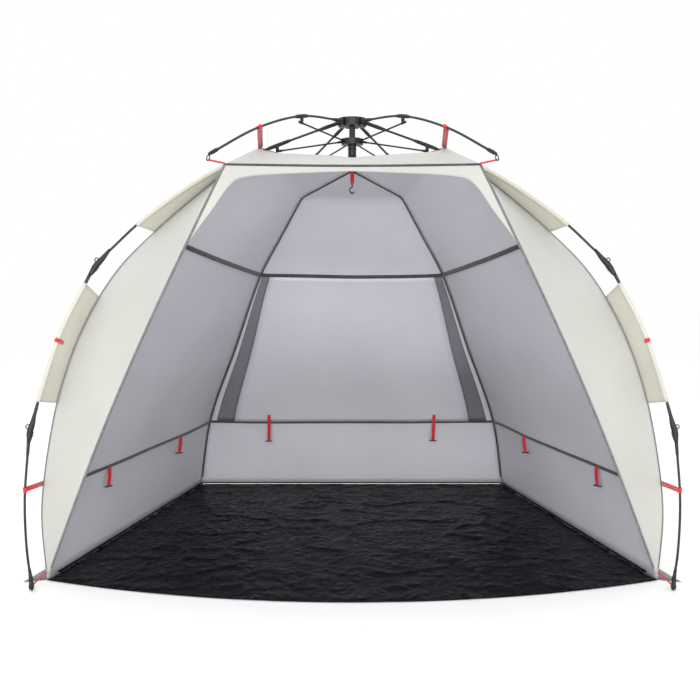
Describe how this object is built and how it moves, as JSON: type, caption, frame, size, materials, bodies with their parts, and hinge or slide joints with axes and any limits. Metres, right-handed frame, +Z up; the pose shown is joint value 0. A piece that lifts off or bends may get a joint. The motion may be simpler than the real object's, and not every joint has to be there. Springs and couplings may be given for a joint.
{
  "type": "quick-pitch beach shelter",
  "caption": "Open-fronted pop-up shelter: cloth panels hung under a six-arm folding hub frame with jointed legs, an awning and a groundsheet.",
  "frame": {"origin": "on the ground, at the middle of the shelter's footprint box", "axes": "+Z up, -Y out of the open front, +X to the right seen from the front"},
  "size_m": [2.224, 1.8554, 1.614],
  "materials": {
    "outer_cloth": "matte woven polyester, cream",
    "coated_cloth": "silver-grey coated polyester",
    "groundsheet": "creased black polyethylene, semi-gloss",
    "pole": "dark glass-fibre rod, satin",
    "black_plastic": "moulded black nylon",
    "red_webbing": "red polyester webbing"
  },
  "bodies": {
    "hub_and_cloth": {"top_hub": "black_plastic", "stem": "black_plastic", "crown_ring": "coated_cloth", "groundsheet": "groundsheet", "back_wall": "coated_cloth", "right_wall": "coated_cloth", "left_wall": "coated_cloth", "right_front_panel": "outer_cloth", "left_front_panel": "outer_cloth", "roof_panel": "outer_cloth", "doorway_band": "outer_cloth", "right_skirt": "coated_cloth", "left_skirt": "coated_cloth"},
    "lower_hub": {"lower_hub": "black_plastic", "hook_ribbon": "red_webbing"},
    "hook": {"ceiling_hook": "black_plastic"},
    "side_right_arm_body": {"side_right_arm": "pole", "side_right_upper_knee": "black_plastic", "side_right_upper_sleeve": "outer_cloth"},
    "side_right_strut_body": {"side_right_strut": "black_plastic"},
    "side_right_middle_body": {"side_right_middle_pole": "pole", "side_right_lower_knee": "black_plastic", "side_right_lower_sleeve": "outer_cloth"},
    "side_right_lower_body": {"side_right_lower_pole": "pole", "side_right_foot": "black_plastic"},
    "side_left_arm_body": {"side_left_arm": "pole", "side_left_upper_knee": "black_plastic", "side_left_upper_sleeve": "outer_cloth"},
    "side_left_strut_body": {"side_left_strut": "black_plastic"},
    "side_left_middle_body": {"side_left_middle_pole": "pole", "side_left_lower_knee": "black_plastic", "side_left_lower_sleeve": "outer_cloth"},
    "side_left_lower_body": {"side_left_lower_pole": "pole", "side_left_foot": "black_plastic"},
    "back_right_arm_body": {"back_right_arm": "pole", "back_right_upper_knee": "black_plastic", "back_right_upper_sleeve": "outer_cloth"},
    "back_right_strut_body": {"back_right_strut": "black_plastic"},
    "back_right_middle_body": {"back_right_middle_pole": "pole", "back_right_lower_knee": "black_plastic", "back_right_lower_sleeve": "outer_cloth"},
    "back_right_lower_body": {"back_right_lower_pole": "pole", "back_right_foot": "black_plastic"},
    "back_left_arm_body": {"back_left_arm": "pole", "back_left_upper_knee": "black_plastic", "back_left_upper_sleeve": "outer_cloth"},
    "back_left_strut_body": {"back_left_strut": "black_plastic"},
    "back_left_middle_body": {"back_left_middle_pole": "pole", "back_left_lower_knee": "black_plastic", "back_left_lower_sleeve": "outer_cloth"},
    "back_left_lower_body": {"back_left_lower_pole": "pole", "back_left_foot": "black_plastic"},
    "front_right_arm_body": {"front_right_arm": "pole", "front_right_tip": "black_plastic"},
    "front_right_strut_body": {"front_right_strut": "black_plastic"},
    "front_left_arm_body": {"front_left_arm": "pole", "front_left_tip": "black_plastic"},
    "front_left_strut_body": {"front_left_strut": "black_plastic"}
  },
  "joints": [
    {"name": "hub_slide", "type": "slide", "parent": "hub_and_cloth", "child": "lower_hub", "axis": [0, 0, 1], "range_m": [-0.44, 0], "deforming": ["crown_ring", "groundsheet", "back_wall", "right_wall", "left_wall", "right_front_panel", "left_front_panel", "roof_panel", "doorway_band", "right_skirt", "left_skirt"]},
    {"name": "hook_swing", "type": "hinge", "parent": "lower_hub", "child": "hook", "pos_m": [0, -0.2908, 1.377], "axis": [0, 1, 0], "range_deg": [-60, 60]},
    {"name": "side_right_arm_fold", "type": "hinge", "parent": "hub_and_cloth", "child": "side_right_arm_body", "pos_m": [0.0386, -0.30735, 1.6], "axis": [0.3939, 0.9191, 0], "range_deg": [0, 50.6]},
    {"name": "side_right_strut_fold", "type": "hinge", "parent": "lower_hub", "child": "side_right_strut_body", "pos_m": [0.02941, -0.30341, 1.53], "axis": [0.3939, 0.9191, 0], "range_deg": [-84.5, 0]},
    {"name": "side_right_upper_knee_fold", "type": "hinge", "parent": "side_right_arm_body", "child": "side_right_middle_body", "pos_m": [0.87811, -0.66716, 1.04512], "axis": [0.3939, 0.9191, 0], "range_deg": [-166, 0]},
    {"name": "side_right_lower_knee_fold", "type": "hinge", "parent": "side_right_middle_body", "child": "side_right_lower_body", "pos_m": [1.04415, -0.73832, 0.49046], "axis": [0.3939, 0.9191, 0], "range_deg": [0, 141]},
    {"name": "side_left_arm_fold", "type": "hinge", "parent": "hub_and_cloth", "child": "side_left_arm_body", "pos_m": [-0.0386, -0.30735, 1.6], "axis": [0.3939, -0.9191, 0], "range_deg": [0, 50.6]},
    {"name": "side_left_strut_fold", "type": "hinge", "parent": "lower_hub", "child": "side_left_strut_body", "pos_m": [-0.02941, -0.30341, 1.53], "axis": [0.3939, -0.9191, 0], "range_deg": [-84.5, 0]},
    {"name": "side_left_upper_knee_fold", "type": "hinge", "parent": "side_left_arm_body", "child": "side_left_middle_body", "pos_m": [-0.87811, -0.66716, 1.04512], "axis": [0.3939, -0.9191, 0], "range_deg": [-166, 0]},
    {"name": "side_left_lower_knee_fold", "type": "hinge", "parent": "side_left_middle_body", "child": "side_left_lower_body", "pos_m": [-1.04415, -0.73832, 0.49046], "axis": [0.3939, -0.9191, 0], "range_deg": [0, 141]},
    {"name": "back_right_arm_fold", "type": "hinge", "parent": "hub_and_cloth", "child": "back_right_arm_body", "pos_m": [0.02294, -0.25562, 1.6], "axis": [-0.8377, 0.5461, 0], "range_deg": [0, 50.6]},
    {"name": "back_right_strut_fold", "type": "hinge", "parent": "lower_hub", "child": "back_right_strut_body", "pos_m": [0.01748, -0.26399, 1.53], "axis": [-0.8377, 0.5461, 0], "range_deg": [-84.5, 0]},
    {"name": "back_right_upper_knee_fold", "type": "hinge", "parent": "back_right_arm_body", "child": "back_right_middle_body", "pos_m": [0.50306, 0.48089, 1.04532], "axis": [-0.8377, 0.5461, 0], "range_deg": [-166, 0]},
    {"name": "back_right_lower_knee_fold", "type": "hinge", "parent": "back_right_middle_body", "child": "back_right_lower_body", "pos_m": [0.699, 0.78147, 0.44083], "axis": [-0.8377, 0.5461, 0], "range_deg": [0, 141]},
    {"name": "back_left_arm_fold", "type": "hinge", "parent": "hub_and_cloth", "child": "back_left_arm_body", "pos_m": [-0.02294, -0.25562, 1.6], "axis": [-0.8377, -0.5461, 0], "range_deg": [0, 50.6]},
    {"name": "back_left_strut_fold", "type": "hinge", "parent": "lower_hub", "child": "back_left_strut_body", "pos_m": [-0.01748, -0.26399, 1.53], "axis": [-0.8377, -0.5461, 0], "range_deg": [-84.5, 0]},
    {"name": "back_left_upper_knee_fold", "type": "hinge", "parent": "back_left_arm_body", "child": "back_left_middle_body", "pos_m": [-0.50306, 0.48089, 1.04532], "axis": [-0.8377, -0.5461, 0], "range_deg": [-166, 0]},
    {"name": "back_left_lower_knee_fold", "type": "hinge", "parent": "back_left_middle_body", "child": "back_left_lower_body", "pos_m": [-0.699, 0.78147, 0.44083], "axis": [-0.8377, -0.5461, 0], "range_deg": [0, 141]},
    {"name": "front_right_arm_fold", "type": "hinge", "parent": "hub_and_cloth", "child": "front_right_arm_body", "pos_m": [0.02409, -0.3252, 1.6], "axis": [0.8192, 0.5736, 0], "range_deg": [0, 69.8]},
    {"name": "front_right_strut_fold", "type": "hinge", "parent": "lower_hub", "child": "front_right_strut_body", "pos_m": [0.01835, -0.31701, 1.53], "axis": [0.8192, 0.5736, 0], "range_deg": [-70.9, 0]},
    {"name": "front_left_arm_fold", "type": "hinge", "parent": "hub_and_cloth", "child": "front_left_arm_body", "pos_m": [-0.02409, -0.3252, 1.6], "axis": [0.8192, -0.5736, 0], "range_deg": [0, 69.8]},
    {"name": "front_left_strut_fold", "type": "hinge", "parent": "lower_hub", "child": "front_left_strut_body", "pos_m": [-0.01835, -0.31701, 1.53], "axis": [0.8192, -0.5736, 0], "range_deg": [-70.9, 0]}
  ],
  "couplings": [
    {"joint": "side_right_arm_fold", "follows": "hub_slide", "rad_per_m": -1.9675},
    {"joint": "side_right_strut_fold", "follows": "hub_slide", "rad_per_m": 3.3121},
    {"joint": "side_right_upper_knee_fold", "follows": "hub_slide", "rad_per_m": 6.545},
    {"joint": "side_right_lower_knee_fold", "follows": "hub_slide", "rad_per_m": -5.5533},
    {"joint": "side_left_arm_fold", "follows": "hub_slide", "rad_per_m": -1.9675},
    {"joint": "side_left_strut_fold", "follows": "hub_slide", "rad_per_m": 3.3121},
    {"joint": "side_left_upper_knee_fold", "follows": "hub_slide", "rad_per_m": 6.545},
    {"joint": "side_left_lower_knee_fold", "follows": "hub_slide", "rad_per_m": -5.5533},
    {"joint": "back_right_arm_fold", "follows": "hub_slide", "rad_per_m": -1.9675},
    {"joint": "back_right_strut_fold", "follows": "hub_slide", "rad_per_m": 3.3121},
    {"joint": "back_right_upper_knee_fold", "follows": "hub_slide", "rad_per_m": 6.545},
    {"joint": "back_right_lower_knee_fold", "follows": "hub_slide", "rad_per_m": -5.5533},
    {"joint": "back_left_arm_fold", "follows": "hub_slide", "rad_per_m": -1.9675},
    {"joint": "back_left_strut_fold", "follows": "hub_slide", "rad_per_m": 3.3121},
    {"joint": "back_left_upper_knee_fold", "follows": "hub_slide", "rad_per_m": 6.545},
    {"joint": "back_left_lower_knee_fold", "follows": "hub_slide", "rad_per_m": -5.5533},
    {"joint": "front_right_arm_fold", "follows": "hub_slide", "rad_per_m": -2.7291},
    {"joint": "front_right_strut_fold", "follows": "hub_slide", "rad_per_m": 2.7725},
    {"joint": "front_left_arm_fold", "follows": "hub_slide", "rad_per_m": -2.7291},
    {"joint": "front_left_strut_fold", "follows": "hub_slide", "rad_per_m": 2.7725}
  ]
}
